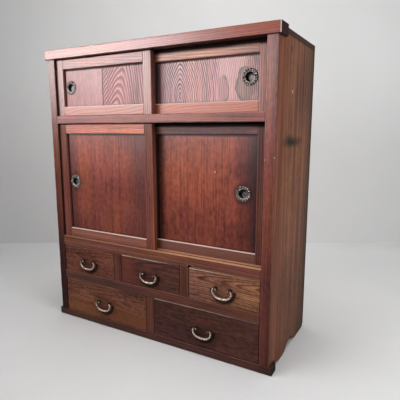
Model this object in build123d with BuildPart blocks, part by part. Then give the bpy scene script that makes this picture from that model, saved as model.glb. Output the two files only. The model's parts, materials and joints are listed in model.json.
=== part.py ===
"""Tansu chest: two tiers of sliding doors over two rows of drawers, in one framed carcass.

The front faces -Y and +Z is up. The origin lies on the floor, on the chest's middle line, midway
between the front of the drawer handles and the outside of the back. Sizes are in millimetres.
"""

import os

from build123d import *

os.makedirs("parts", exist_ok=True)

# Carcass
CARCASS_WIDTH = 890.0  # over the outer faces of the posts
CARCASS_DEPTH = 380.0  # front of the posts to the outside of the back
POST_WIDTH = 33.0
FRAME_DEPTH = 55.0  # posts and rails, front to back
BOTTOM_RAIL_DEPTH = 40.0
RAIL_HORN = 9.5  # top and bottom rails past the sides
TOP_RAIL_PROUD = 8.0  # top rail in front of the posts
EDGE_CHAMFER = 1.5  # worn front arrises of the frame

# Front frame, from the floor up
BOTTOM_RAIL_HEIGHT = 27.0
LOWER_DRAWER_OPENING = 136.0
DRAWER_RAIL_HEIGHT = 32.0
UPPER_DRAWER_OPENING = 105.0
SILL_HEIGHT = 35.0
LOWER_DOOR_OPENING = 432.0
MID_RAIL_HEIGHT = 28.0
UPPER_DOOR_OPENING = 203.0
TOP_RAIL_HEIGHT = 33.0
MUNTIN_WIDTH = 34.0
MUNTIN_DEPTH = 40.0

# Joints of the frame
TENON_LENGTH = 20.0  # rails into posts
TENON_SHOULDER = 7.0
TENON_SETBACK = 9.0  # from the front and back of a piece to its tenon
POST_TENON = 16.0  # posts into top and bottom rails
MUNTIN_TENON = 10.0

# Sides, boards and back
SIDE_THICKNESS = 15.0
SIDE_TONGUE = 8.0
SIDE_TONGUE_THICKNESS = 7.0
TOP_BOARD_THICKNESS = 12.0
TOP_STEP = 2.5  # top rail above the top board
SHELF_THICKNESS = 10.0
SHELF_TONGUE = 4.0
SHELF_TONGUE_THICKNESS = 5.0
SHELF_HOUSING = 5.0  # shelf ends let into the sides
REAR_RAIL_DEPTH = 30.0
REAR_RAIL_TENON = 8.0
BACK_THICKNESS = 7.0
BACK_BOARD_COUNT = 5
BACK_LIFT = 12.0  # back boards above the floor
BACK_CHAMFER = 1.0
GUIDE_HEIGHT = 15.0

# Scalloped foot of the side panels, measured from the front of the posts
SCALLOP_FRONT = 22.0
FRONT_FOOT_START = 112.0
FRONT_FOOT_END = 134.0
ARCH_HEIGHT = 28.0
REAR_FOOT_LENGTH = 88.0
FOOT_ROUND = 10.0

# Square cut nails, driven flush
NAIL_HEAD = 5.0
NAIL_HEAD_THICKNESS = 1.5
NAIL_SHANK = 2.4
NAIL_LENGTH = 26.0
NAIL_EDGE = 18.0  # nail to the edge of a back board
TOP_NAIL_COUNT = 4
TOP_NAIL_EDGE = 40.0

# Sliding doors
DOOR_OVERLAP = 36.0
DOOR_THICKNESS = 18.0
DOOR_SETBACK = 9.0  # front doors behind the posts
DOOR_GAP = 7.0  # between front and rear doors
DOOR_TONGUE = 8.0
TRACK_SIDE_CLEARANCE = 0.5
HEAD_GROOVE = 8.0
HEAD_ENTRY = 4.5
SILL_GROOVE = 3.0
DOOR_FOOT_GAP = 0.8
DOOR_LIFT = 3.2  # room above a door to lift it out
STILE_WIDTH = 33.0
DOOR_RAIL_HEIGHT = 33.0
DOOR_TENON = 22.0
DOOR_CHAMFER = 1.2
PANEL_THICKNESS = 7.0
PANEL_SETBACK = 8.0
PANEL_GROOVE = 6.0
UPPER_PANEL_BOARDS = 2
LOWER_PANEL_BOARDS = 3
RUN_GAP = 0.3  # moving wood on fixed wood

# Finger pulls
PULL_DIAMETER = 52.0
PULL_HOLE = 28.0
PULL_DEPTH = 7.0  # face of the panel to the floor of the cup
PULL_METAL = 1.0
PULL_LIP = 2.6  # inner lip in front of the panel
PULL_RIM = 1.0  # outer rim in front of the panel
PULL_PETALS = 16
PULL_NOTCH = 2.2
PULL_INSET = 30.0  # stile to the middle of the pull
LOWER_RIGHT_PULL_INSET = 46.0

# Drawers
UPPER_DRAWER_COUNT = 3
LOWER_DRAWER_COUNT = 2
DRAWER_SIDE_GAP = 1.0
DRAWER_TOP_GAP = 2.0
DRAWER_BACK_GAP = 1.0
DRAWER_RECESS = 2.0
DRAWER_FRONT_THICKNESS = 20.0
DRAWER_LAP = 12.0  # sides let into the back of the front
DRAWER_WALL = 10.0
DRAWER_SIDE_DROP = 4.0  # sides below the top of the front
DRAWER_BOTTOM_THICKNESS = 6.0
DRAWER_BOTTOM_LIFT = 5.0
DRAWER_GROOVE = 5.0
DRAWER_CHAMFER = 1.2

# Bail handles
BAIL_WIDTH = 72.0
BAIL_DROP = 35.0  # pivot to the underside of the bail
BAIL_ROD = 5.5
BAIL_STANDOFF = 10.0  # pivot in front of the drawer face
EYE_SPREAD = 52.0
EYE_RADIUS = 5.5
EYE_THICKNESS = 4.0
EYE_CLEARANCE = 0.2
PIN_SIZE = 4.0
PIN_CLINCH = 12.0
PIN_CLINCH_THICKNESS = 1.5
WASHER_DIAMETER = 15.0
WASHER_THICKNESS = 1.2

half_width = CARCASS_WIDTH / 2
half_opening = half_width - POST_WIDTH
side_inner = half_width - SIDE_THICKNESS

z_drawer_rail = BOTTOM_RAIL_HEIGHT + LOWER_DRAWER_OPENING
z_upper_drawers = z_drawer_rail + DRAWER_RAIL_HEIGHT
z_sill = z_upper_drawers + UPPER_DRAWER_OPENING
z_lower_doors = z_sill + SILL_HEIGHT
z_mid_rail = z_lower_doors + LOWER_DOOR_OPENING
z_upper_doors = z_mid_rail + MID_RAIL_HEIGHT
z_top_rail = z_upper_doors + UPPER_DOOR_OPENING
z_top = z_top_rail + TOP_RAIL_HEIGHT
z_board_top = z_top - TOP_STEP
z_side_top = z_board_top - TOP_BOARD_THICKNESS

handle_reach = BAIL_STANDOFF + EYE_RADIUS - DRAWER_RECESS
front = (handle_reach - CARCASS_DEPTH) / 2
frame_back = front + FRAME_DEPTH
back_outer = front + CARCASS_DEPTH
back_inner = back_outer - BACK_THICKNESS
track_centers = [
    front + DOOR_SETBACK + DOOR_THICKNESS / 2,
    front + DOOR_SETBACK + DOOR_THICKNESS * 1.5 + DOOR_GAP,
]
groove_width = DOOR_TONGUE + 2 * TRACK_SIDE_CLEARANCE


def block(low, high, mode=Mode.ADD):
    """A square-cut piece between two corners, in the part being built."""
    size = [b - a for a, b in zip(low, high)]
    middle = tuple((a + b) / 2 for a, b in zip(low, high))
    with Locations(middle):
        Box(*size, mode=mode)


def export(builder, name):
    builder.part.label = name
    export_step(builder.part, f"parts/{name}.step")


def export_group(builders, name):
    """Separate solids that share one node."""
    solids = [solid for builder in builders for solid in builder.part.solids()]
    group = Compound(solids)
    group.label = name
    export_step(group, f"parts/{name}.step")


# Frame rails. The door grooves are cut along the rail between the posts, deep overhead and shallow
# underfoot, and a groove in the back takes the tongue of the shelf behind.
def shelf_groove(z_shelf_top, rail_back):
    low = z_shelf_top - (SHELF_THICKNESS + SHELF_TONGUE_THICKNESS) / 2
    block(
        (-half_opening, rail_back - SHELF_TONGUE, low),
        (half_opening, rail_back, low + SHELF_TONGUE_THICKNESS),
        Mode.SUBTRACT,
    )


def track_grooves(z_face, depth):
    for center in track_centers:
        block(
            (-half_opening, center - groove_width / 2, min(z_face, z_face + depth)),
            (half_opening, center + groove_width / 2, max(z_face, z_face + depth)),
            Mode.SUBTRACT,
        )


def muntin_mortises(z_face, depth, centers):
    for x in centers:
        block(
            (x - muntin_tenon / 2, front + TENON_SETBACK, min(z_face, z_face + depth)),
            (x + muntin_tenon / 2, muntin_back - TENON_SETBACK, max(z_face, z_face + depth)),
            Mode.SUBTRACT,
        )


def rail_bar(y_front, y_back, z_low, z_high, length):
    """A rail along X with its two front arrises worn off."""
    with BuildSketch(Plane.YZ) as section:
        with Locations(((y_front + y_back) / 2, (z_low + z_high) / 2)):
            Rectangle(y_back - y_front, z_high - z_low)
        chamfer(section.vertices().group_by(Axis.X)[0], EDGE_CHAMFER)
    extrude(section.sketch, amount=length / 2, both=True)


def rail_tenons(z_low, z_high):
    tenon_back = frame_back - SIDE_TONGUE - TENON_SETBACK
    for sign in (-1, 1):
        ends = sorted((sign * half_opening, sign * (half_opening + TENON_LENGTH)))
        block(
            (ends[0], front + TENON_SETBACK, z_low + TENON_SHOULDER),
            (ends[1], tenon_back, z_high - TENON_SHOULDER),
        )


muntin_back = front + MUNTIN_DEPTH
muntin_tenon = MUNTIN_WIDTH - 2 * TENON_SETBACK
upper_drawer_width = (
    2 * half_opening - (UPPER_DRAWER_COUNT - 1) * MUNTIN_WIDTH
) / UPPER_DRAWER_COUNT
lower_drawer_width = (
    2 * half_opening - (LOWER_DRAWER_COUNT - 1) * MUNTIN_WIDTH
) / LOWER_DRAWER_COUNT
upper_muntins = [
    -half_opening + (i + 1) * upper_drawer_width + (i + 0.5) * MUNTIN_WIDTH
    for i in range(UPPER_DRAWER_COUNT - 1)
]
lower_muntins = [
    -half_opening + (i + 1) * lower_drawer_width + (i + 0.5) * MUNTIN_WIDTH
    for i in range(LOWER_DRAWER_COUNT - 1)
]
full_rail = CARCASS_WIDTH + 2 * RAIL_HORN
post_tenon_low = front + TENON_SETBACK
post_tenon_high = front + BOTTOM_RAIL_DEPTH - TENON_SETBACK
post_center = half_width - POST_WIDTH / 2
post_tenon = POST_WIDTH - 2 * TENON_SETBACK

with BuildPart() as top_rail:
    rail_bar(front - TOP_RAIL_PROUD, frame_back, z_top_rail, z_top, full_rail)
    chamfer(top_rail.edges().filter_by(Axis.Z).group_by(Axis.Y)[0], EDGE_CHAMFER)
    track_grooves(z_top_rail, HEAD_GROOVE)
    for x in (-post_center, post_center):
        block(
            (x - post_tenon / 2, post_tenon_low, z_top_rail),
            (x + post_tenon / 2, post_tenon_high, z_top_rail + POST_TENON),
            Mode.SUBTRACT,
        )
    shelf_groove(z_board_top - (TOP_BOARD_THICKNESS - SHELF_THICKNESS) / 2, frame_back)
export(top_rail, "top_rail")

with BuildPart() as mid_rail:
    rail_bar(front, frame_back, z_mid_rail, z_upper_doors, 2 * half_opening)
    rail_tenons(z_mid_rail, z_upper_doors)
    track_grooves(z_mid_rail, HEAD_GROOVE)
    track_grooves(z_upper_doors, -SILL_GROOVE)
    shelf_groove(z_upper_doors, frame_back)
export(mid_rail, "mid_rail")

with BuildPart() as sill_rail:
    rail_bar(front, frame_back, z_sill, z_lower_doors, 2 * half_opening)
    rail_tenons(z_sill, z_lower_doors)
    track_grooves(z_lower_doors, -SILL_GROOVE)
    muntin_mortises(z_sill, MUNTIN_TENON, upper_muntins)
    shelf_groove(z_lower_doors, frame_back)
export(sill_rail, "sill_rail")

with BuildPart() as drawer_rail:
    rail_bar(front, frame_back, z_drawer_rail, z_upper_drawers, 2 * half_opening)
    rail_tenons(z_drawer_rail, z_upper_drawers)
    muntin_mortises(z_upper_drawers, -MUNTIN_TENON, upper_muntins)
    muntin_mortises(z_drawer_rail, MUNTIN_TENON, lower_muntins)
    shelf_groove(z_upper_drawers, frame_back)
export(drawer_rail, "drawer_rail")

with BuildPart() as bottom_rail:
    rail_bar(front, front + BOTTOM_RAIL_DEPTH, 0, BOTTOM_RAIL_HEIGHT, full_rail)
    for x in (-post_center, post_center):
        block(
            (x - post_tenon / 2, post_tenon_low, BOTTOM_RAIL_HEIGHT - POST_TENON),
            (x + post_tenon / 2, post_tenon_high, BOTTOM_RAIL_HEIGHT),
            Mode.SUBTRACT,
        )
    muntin_mortises(BOTTOM_RAIL_HEIGHT, -MUNTIN_TENON, lower_muntins)
    shelf_groove(BOTTOM_RAIL_HEIGHT, front + BOTTOM_RAIL_DEPTH)
export(bottom_rail, "bottom_rail")


# Front posts, mortised for the rails and grooved behind for the side panels.
def front_post(name, sign):
    x_mid = sign * post_center
    tongue_mid = sign * (half_width - SIDE_THICKNESS / 2)
    tenon_back = frame_back - SIDE_TONGUE - TENON_SETBACK
    ends = sorted((sign * half_opening, sign * (half_opening + TENON_LENGTH)))
    with BuildPart() as post:
        with BuildSketch(Plane.XY.offset(BOTTOM_RAIL_HEIGHT)):
            with Locations((x_mid, (front + frame_back) / 2)):
                Rectangle(POST_WIDTH, FRAME_DEPTH)
            chamfer(vertices().group_by(Axis.Y)[0], EDGE_CHAMFER)
        extrude(amount=z_top_rail - BOTTOM_RAIL_HEIGHT)
        block(
            (x_mid - post_tenon / 2, post_tenon_low, BOTTOM_RAIL_HEIGHT - POST_TENON),
            (x_mid + post_tenon / 2, post_tenon_high, z_top_rail + POST_TENON),
        )
        for low, high in (
            (z_drawer_rail, z_upper_drawers),
            (z_sill, z_lower_doors),
            (z_mid_rail, z_upper_doors),
        ):
            block(
                (ends[0], front + TENON_SETBACK, low + TENON_SHOULDER),
                (ends[1], tenon_back, high - TENON_SHOULDER),
                Mode.SUBTRACT,
            )
        block(
            (tongue_mid - SIDE_TONGUE_THICKNESS / 2, frame_back - SIDE_TONGUE, BOTTOM_RAIL_HEIGHT),
            (tongue_mid + SIDE_TONGUE_THICKNESS / 2, frame_back, z_top_rail),
            Mode.SUBTRACT,
        )
    export(post, name)


front_post("left_post", -1)
front_post("right_post", 1)

# Where the nails go: down through the top board into the sides, and in through the back boards.
back_board_width = CARCASS_WIDTH / BACK_BOARD_COUNT
shelf_tops = [BOTTOM_RAIL_HEIGHT, z_upper_drawers, z_lower_doors, z_upper_doors]
nail_levels = [top - SHELF_THICKNESS / 2 for top in shelf_tops]
nail_levels.append(z_board_top - TOP_BOARD_THICKNESS / 2)
back_nail_xs = [
    -half_width + (i + 0.5) * back_board_width + side * (back_board_width / 2 - NAIL_EDGE)
    for i in range(BACK_BOARD_COUNT)
    for side in (-1, 1)
]
top_nail_step = (back_inner - frame_back - 2 * TOP_NAIL_EDGE) / (TOP_NAIL_COUNT - 1)
top_nail_points = [
    (sign * (half_width - SIDE_THICKNESS / 2), frame_back + TOP_NAIL_EDGE + i * top_nail_step)
    for sign in (-1, 1)
    for i in range(TOP_NAIL_COUNT)
]


def top_nails(mode):
    with Locations(*[(x, y, z_board_top - NAIL_HEAD_THICKNESS / 2) for x, y in top_nail_points]):
        Box(NAIL_HEAD, NAIL_HEAD, NAIL_HEAD_THICKNESS, mode=mode)
    with Locations(*[(x, y, z_board_top - NAIL_LENGTH / 2) for x, y in top_nail_points]):
        Box(NAIL_SHANK, NAIL_SHANK, NAIL_LENGTH, mode=mode)


def back_nails(levels, mode):
    points = [(x, z) for x in back_nail_xs for z in levels]
    with Locations(*[(x, back_outer - NAIL_HEAD_THICKNESS / 2, z) for x, z in points]):
        Box(NAIL_HEAD, NAIL_HEAD_THICKNESS, NAIL_HEAD, mode=mode)
    with Locations(*[(x, back_outer - NAIL_LENGTH / 2, z) for x, z in points]):
        Box(NAIL_SHANK, NAIL_LENGTH, NAIL_SHANK, mode=mode)


# Side panels: tongued into the posts, housed for the shelves, scalloped between two feet.
def side_panel(name, sign):
    foot_start = front + FRONT_FOOT_START
    foot_end = front + FRONT_FOOT_END
    rear_foot = back_inner - REAR_FOOT_LENGTH
    apex = (foot_end + rear_foot) / 2
    tongue_mid = sign * (half_width - SIDE_THICKNESS / 2)
    inner = sign * side_inner
    with BuildPart() as panel:
        with BuildSketch(Plane.YZ.offset(sign * half_width)):
            with BuildLine():
                Polyline(
                    (frame_back, SCALLOP_FRONT),
                    (frame_back, z_side_top),
                    (back_inner, z_side_top),
                    (back_inner, FOOT_ROUND),
                )
                RadiusArc((back_inner, FOOT_ROUND), (back_inner - FOOT_ROUND, 0), FOOT_ROUND)
                Line((back_inner - FOOT_ROUND, 0), (rear_foot, 0))
                for foot in (rear_foot, foot_end):
                    turn = ((foot + apex) / 2, ARCH_HEIGHT / 2)
                    toward = 1 if apex > foot else -1
                    TangentArc((foot, 0), turn, tangent=(toward, 0))
                    TangentArc((apex, ARCH_HEIGHT), turn, tangent=(-toward, 0))
                Line((foot_end, 0), (foot_start, 0))
                TangentArc((foot_start, 0), (frame_back, SCALLOP_FRONT), tangent=(-1, 0))
            make_face()
        extrude(amount=-sign * SIDE_THICKNESS)
        block(
            (tongue_mid - SIDE_TONGUE_THICKNESS / 2, frame_back - SIDE_TONGUE, BOTTOM_RAIL_HEIGHT),
            (tongue_mid + SIDE_TONGUE_THICKNESS / 2, frame_back, z_top_rail),
        )
        housing = sorted((inner, inner + sign * SHELF_HOUSING))
        for top in shelf_tops[1:]:
            block(
                (housing[0], frame_back, top - SHELF_THICKNESS),
                (housing[1], back_inner, top),
                Mode.SUBTRACT,
            )
        tenon = sorted((inner, inner + sign * REAR_RAIL_TENON))
        block((tenon[0], *rear_tenon_low), (tenon[1], *rear_tenon_high), Mode.SUBTRACT)
        top_nails(Mode.SUBTRACT)
    export(panel, name)


rear_rail_height = BOTTOM_RAIL_HEIGHT - SHELF_THICKNESS
rear_tenon_low = (back_inner - REAR_RAIL_DEPTH * 0.8, rear_rail_height * 0.3)
rear_tenon_high = (back_inner - REAR_RAIL_DEPTH * 0.2, rear_rail_height * 0.8)
side_panel("left_side_panel", -1)
side_panel("right_side_panel", 1)

with BuildPart() as rear_bottom_rail:
    block((-side_inner, back_inner - REAR_RAIL_DEPTH, 0), (side_inner, back_inner, rear_rail_height))
    block(
        (-side_inner - REAR_RAIL_TENON, *rear_tenon_low),
        (side_inner + REAR_RAIL_TENON, *rear_tenon_high),
    )
export(rear_bottom_rail, "rear_bottom_rail")

# Boards that tie the frame to the back: each has a tongue at the front, and the shelves' ends are
# let into the sides.
with BuildPart() as top_board:
    tongue_low = z_board_top - (TOP_BOARD_THICKNESS + SHELF_TONGUE_THICKNESS) / 2
    block((-half_width, frame_back, z_side_top), (half_width, back_inner, z_board_top))
    block(
        (-half_opening, frame_back - SHELF_TONGUE, tongue_low),
        (half_opening, frame_back, tongue_low + SHELF_TONGUE_THICKNESS),
    )
    top_nails(Mode.SUBTRACT)
    back_nails(nail_levels[-1:], Mode.SUBTRACT)
export(top_board, "top_board")


def shelf(name, z_shelf_top, reach, shelf_front):
    z_low = z_shelf_top - SHELF_THICKNESS
    tongue_low = z_low + (SHELF_THICKNESS - SHELF_TONGUE_THICKNESS) / 2
    with BuildPart() as board:
        block((-reach, shelf_front, z_low), (reach, back_inner, z_shelf_top))
        block(
            (-half_opening, shelf_front - SHELF_TONGUE, tongue_low),
            (half_opening, shelf_front, tongue_low + SHELF_TONGUE_THICKNESS),
        )
        back_nails([z_shelf_top - SHELF_THICKNESS / 2], Mode.SUBTRACT)
    export(board, name)


shelf("mid_shelf", z_upper_doors, side_inner + SHELF_HOUSING, frame_back)
shelf("cupboard_floor", z_lower_doors, side_inner + SHELF_HOUSING, frame_back)
shelf("drawer_shelf", z_upper_drawers, side_inner + SHELF_HOUSING, frame_back)
shelf("bottom_board", BOTTOM_RAIL_HEIGHT, side_inner, front + BOTTOM_RAIL_DEPTH)


# Muntins between the drawers, tenoned into the rails above and below.
def muntin(name, x, z_low, z_high):
    with BuildPart() as upright:
        with BuildSketch(Plane.XY.offset(z_low)):
            with Locations((x, (front + muntin_back) / 2)):
                Rectangle(MUNTIN_WIDTH, MUNTIN_DEPTH)
            chamfer(vertices().group_by(Axis.Y)[0], EDGE_CHAMFER)
        extrude(amount=z_high - z_low)
        block(
            (x - muntin_tenon / 2, front + TENON_SETBACK, z_low - MUNTIN_TENON),
            (x + muntin_tenon / 2, muntin_back - TENON_SETBACK, z_high + MUNTIN_TENON),
        )
    export(upright, name)


for name, x in zip(("left_muntin", "right_muntin"), upper_muntins):
    muntin(name, x, z_upper_drawers, z_sill)
for name, x in zip(("lower_muntin",), lower_muntins):
    muntin(name, x, BOTTOM_RAIL_HEIGHT, z_drawer_rail)

# Guide battens that keep the drawers straight, behind the muntins and beside the posts.
with BuildPart() as drawer_guides:
    for z_floor, centers in ((BOTTOM_RAIL_HEIGHT, lower_muntins), (z_upper_drawers, upper_muntins)):
        for x in centers:
            block(
                (x - MUNTIN_WIDTH / 2, muntin_back, z_floor),
                (x + MUNTIN_WIDTH / 2, back_inner, z_floor + GUIDE_HEIGHT),
            )
        for low, high in ((-side_inner, -half_opening), (half_opening, side_inner)):
            block((low, frame_back, z_floor), (high, back_inner, z_floor + GUIDE_HEIGHT))
export(drawer_guides, "drawer_guides")

# Back: upright boards, edge to edge, nailed to the shelves.
back_boards = []
for i in range(BACK_BOARD_COUNT):
    left = -half_width + i * back_board_width
    with BuildPart() as back_board:
        with BuildSketch(Plane.XY.offset(BACK_LIFT)):
            with Locations((left + back_board_width / 2, (back_inner + back_outer) / 2)):
                Rectangle(back_board_width, BACK_THICKNESS)
            chamfer(vertices().group_by(Axis.Y)[-1], BACK_CHAMFER)
        extrude(amount=z_board_top - BACK_LIFT)
        back_nails(nail_levels, Mode.SUBTRACT)
    back_boards.append(back_board)
export_group(back_boards, "back_boards")

with BuildPart() as back_nail_set:
    back_nails(nail_levels, Mode.ADD)
export(back_nail_set, "back_nails")

with BuildPart() as top_nail_set:
    top_nails(Mode.ADD)
export(top_nail_set, "top_nails")

# Sliding doors. Left-hand doors run in the front track, right-hand doors behind them.
door_width = (2 * half_opening + DOOR_OVERLAP) / 2


def door(name, side, z_low, z_high, board_count, pull_inset):
    """A frame-and-panel door that hangs between the grooves of two rails."""
    track = track_centers[0] if side < 0 else track_centers[1]
    face = track - DOOR_THICKNESS / 2
    rear = track + DOOR_THICKNESS / 2
    left = -half_opening + RUN_GAP if side < 0 else half_opening - RUN_GAP - door_width
    right = left + door_width
    bottom = z_low + DOOR_FOOT_GAP
    top = z_high - DOOR_LIFT
    tongue_bottom = z_low - SILL_GROOVE + RUN_GAP
    tongue_top = z_high + HEAD_ENTRY
    panel_face = face + PANEL_SETBACK
    panel_rear = panel_face + PANEL_THICKNESS
    panel_low = bottom + DOOR_RAIL_HEIGHT - PANEL_GROOVE
    panel_high = top - DOOR_RAIL_HEIGHT + PANEL_GROOVE
    inner_left = left + STILE_WIDTH
    inner_right = right - STILE_WIDTH
    rail_spans = ((bottom, panel_low), (panel_high, top))

    with BuildPart() as stiles:
        for low, high in ((left, inner_left), (inner_right, right)):
            with BuildSketch(Plane.XY.offset(bottom)):
                with Locations(((low + high) / 2, track)):
                    Rectangle(high - low, DOOR_THICKNESS)
                chamfer(vertices().group_by(Axis.Y)[0], DOOR_CHAMFER)
            extrude(amount=top - bottom)
            block(
                (low, track - DOOR_TONGUE / 2, tongue_bottom),
                (high, track + DOOR_TONGUE / 2, tongue_top),
            )
        for low, high in (
            (inner_left - DOOR_TENON, inner_left),
            (inner_right, inner_right + DOOR_TENON),
        ):
            for span in rail_spans:
                block(
                    (low, panel_face, span[0] + PANEL_GROOVE),
                    (high, panel_rear, span[1] - PANEL_GROOVE),
                    Mode.SUBTRACT,
                )
        for low, high in (
            (inner_left - PANEL_GROOVE, inner_left),
            (inner_right, inner_right + PANEL_GROOVE),
        ):
            block((low, panel_face, panel_low), (high, panel_rear, panel_high), Mode.SUBTRACT)
    export(stiles, f"{name}_stiles")

    with BuildPart() as rails:
        for edge, low, high in (
            (1, bottom, bottom + DOOR_RAIL_HEIGHT),
            (-1, top - DOOR_RAIL_HEIGHT, top),
        ):
            with BuildSketch(Plane.YZ.offset(inner_left)):
                with Locations((track, (low + high) / 2)):
                    Rectangle(DOOR_THICKNESS, high - low)
                chamfer(vertices().group_by(Axis.X)[0], DOOR_CHAMFER)
            extrude(amount=inner_right - inner_left)
            block(
                (inner_left, track - DOOR_TONGUE / 2, tongue_bottom if edge > 0 else high),
                (inner_right, track + DOOR_TONGUE / 2, low if edge > 0 else tongue_top),
            )
        for span in rail_spans:
            block(
                (inner_left - DOOR_TENON, panel_face, span[0] + PANEL_GROOVE),
                (inner_right + DOOR_TENON, panel_rear, span[1] - PANEL_GROOVE),
            )
        block((inner_left, panel_face, panel_low), (inner_right, panel_rear, panel_high), Mode.SUBTRACT)
    export(rails, f"{name}_rails")

    pull_x = inner_left + pull_inset if side < 0 else inner_right - pull_inset
    pull_z = (z_low + z_high) / 2
    boards = []
    board_width = (inner_right - inner_left + 2 * PANEL_GROOVE) / board_count
    for i in range(board_count):
        start = inner_left - PANEL_GROOVE + i * board_width
        with BuildPart() as board:
            block((start, panel_face, panel_low), (start + board_width, panel_rear, panel_high))
            if start < pull_x < start + board_width:
                with BuildSketch(Plane.XZ.offset(-panel_face)):
                    with Locations((pull_x, pull_z)):
                        Circle(PULL_HOLE / 2 + PULL_METAL)
                extrude(amount=-PANEL_THICKNESS, mode=Mode.SUBTRACT)
        boards.append(board)
    export_group(boards, f"{name}_panel")

    with BuildPart() as pull:
        with BuildSketch(Plane.XZ):
            with BuildLine():
                Polyline(
                    (0, -PULL_DEPTH - PULL_METAL),
                    (PULL_HOLE / 2 + PULL_METAL, -PULL_DEPTH - PULL_METAL),
                    (PULL_HOLE / 2 + PULL_METAL, 0),
                    (PULL_DIAMETER / 2, 0),
                    (PULL_DIAMETER / 2, PULL_RIM),
                    (PULL_HOLE / 2 + PULL_LIP, PULL_LIP),
                    (PULL_HOLE / 2, PULL_LIP - PULL_METAL),
                    (PULL_HOLE / 2, -PULL_DEPTH),
                    (0, -PULL_DEPTH),
                    close=True,
                )
            make_face()
        revolve(axis=Axis.Z)
        with PolarLocations(PULL_DIAMETER / 2, PULL_PETALS):
            Cylinder(PULL_NOTCH, 4 * PULL_LIP, mode=Mode.SUBTRACT)
    facing = Plane((pull_x, panel_face, pull_z), x_dir=(1, 0, 0), z_dir=(0, -1, 0))
    placed = facing.location * pull.part
    placed.label = f"{name}_pull"
    export_step(placed, f"parts/{name}_pull.step")


door("upper_left_door", -1, z_upper_doors, z_top_rail, UPPER_PANEL_BOARDS, PULL_INSET)
door("upper_right_door", 1, z_upper_doors, z_top_rail, UPPER_PANEL_BOARDS, PULL_INSET)
door("lower_left_door", -1, z_lower_doors, z_mid_rail, LOWER_PANEL_BOARDS, PULL_INSET)
door("lower_right_door", 1, z_lower_doors, z_mid_rail, LOWER_PANEL_BOARDS, LOWER_RIGHT_PULL_INSET)

# Drawers. The sides are lapped into the back of the front, the bottom slides in grooves under the
# back, and a bail hangs in two eye pins that are clinched inside the front.
drawer_face = front + DRAWER_RECESS
drawer_rear = back_inner - DRAWER_BACK_GAP


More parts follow.
